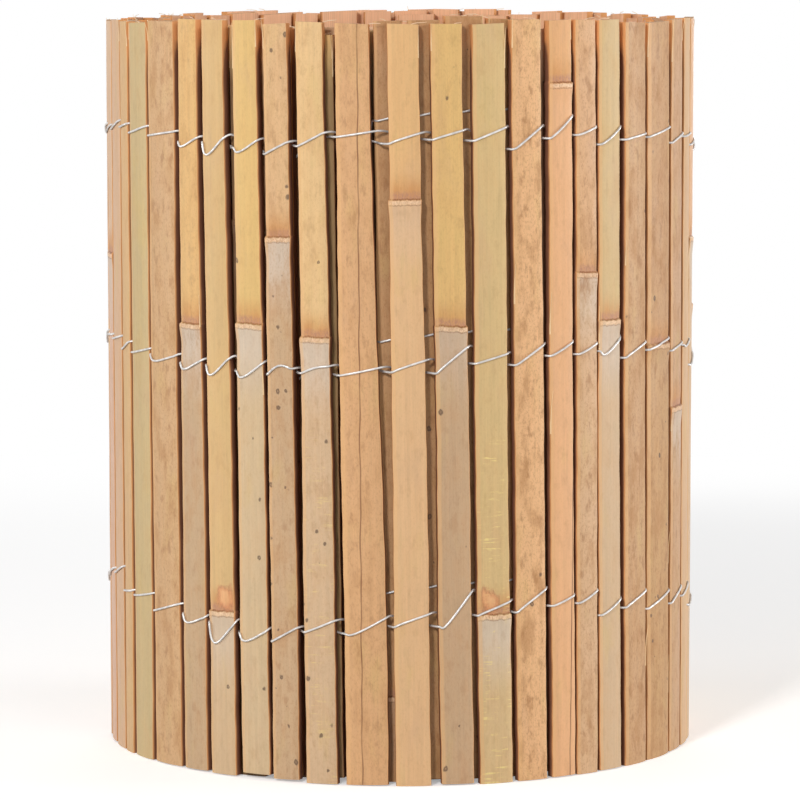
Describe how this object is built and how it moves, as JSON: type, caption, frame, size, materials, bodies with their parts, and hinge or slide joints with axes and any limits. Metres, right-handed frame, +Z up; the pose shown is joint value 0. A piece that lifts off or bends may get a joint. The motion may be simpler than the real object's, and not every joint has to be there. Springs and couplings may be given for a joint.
{
  "type": "bamboo fence roll",
  "caption": "Rolled garden border fence of split bamboo slats bound by rows of twisted galvanised wire, standing on end.",
  "frame": {"origin": "centre of the roll's footprint on the floor", "axes": "+Z up along the slats, -Y to the side that the picture shows, +X to the right of it"},
  "size_m": [0.2464, 0.2446, 0.3028],
  "materials": {
    "bamboo": "dry split bamboo, satin skin side",
    "wire": "galvanised"
  },
  "bodies": {
    "root": {"bottom_wire_outer": "wire", "bottom_wire_through": "wire", "middle_wire_outer": "wire", "middle_wire_through": "wire", "outer_slat_01": "bamboo", "outer_slat_02": "bamboo", "outer_slat_03": "bamboo", "outer_slat_04": "bamboo", "outer_slat_05": "bamboo", "outer_slat_06": "bamboo", "outer_slat_07": "bamboo", "outer_slat_08": "bamboo", "outer_slat_09": "bamboo", "outer_slat_10": "bamboo", "outer_slat_11": "bamboo", "outer_slat_12": "bamboo", "outer_slat_13": "bamboo", "outer_slat_14": "bamboo", "outer_slat_15": "bamboo", "outer_slat_16": "bamboo", "outer_slat_17": "bamboo", "outer_slat_18": "bamboo", "outer_slat_19": "bamboo", "outer_slat_20": "bamboo", "outer_slat_21": "bamboo", "outer_slat_22": "bamboo", "outer_slat_23": "bamboo", "outer_slat_24": "bamboo", "outer_slat_25": "bamboo", "outer_slat_26": "bamboo", "outer_slat_27": "bamboo", "outer_slat_28": "bamboo", "outer_slat_29": "bamboo", "outer_slat_30": "bamboo", "outer_slat_31": "bamboo", "outer_slat_32": "bamboo", "outer_slat_33": "bamboo", "outer_slat_34": "bamboo", "outer_slat_35": "bamboo", "outer_slat_36": "bamboo", "outer_slat_37": "bamboo", "outer_slat_38": "bamboo", "outer_slat_39": "bamboo", "outer_slat_40": "bamboo", "outer_slat_41": "bamboo", "outer_slat_42": "bamboo", "outer_slat_43": "bamboo", "outer_slat_44": "bamboo", "outer_slat_45": "bamboo", "outer_slat_46": "bamboo", "outer_slat_47": "bamboo", "top_wire_outer": "wire", "top_wire_through": "wire", "turn_2_slats": "bamboo", "turn_3_slats": "bamboo", "turn_4_slats": "bamboo", "turn_5_slats": "bamboo"}
  },
  "joints": []
}
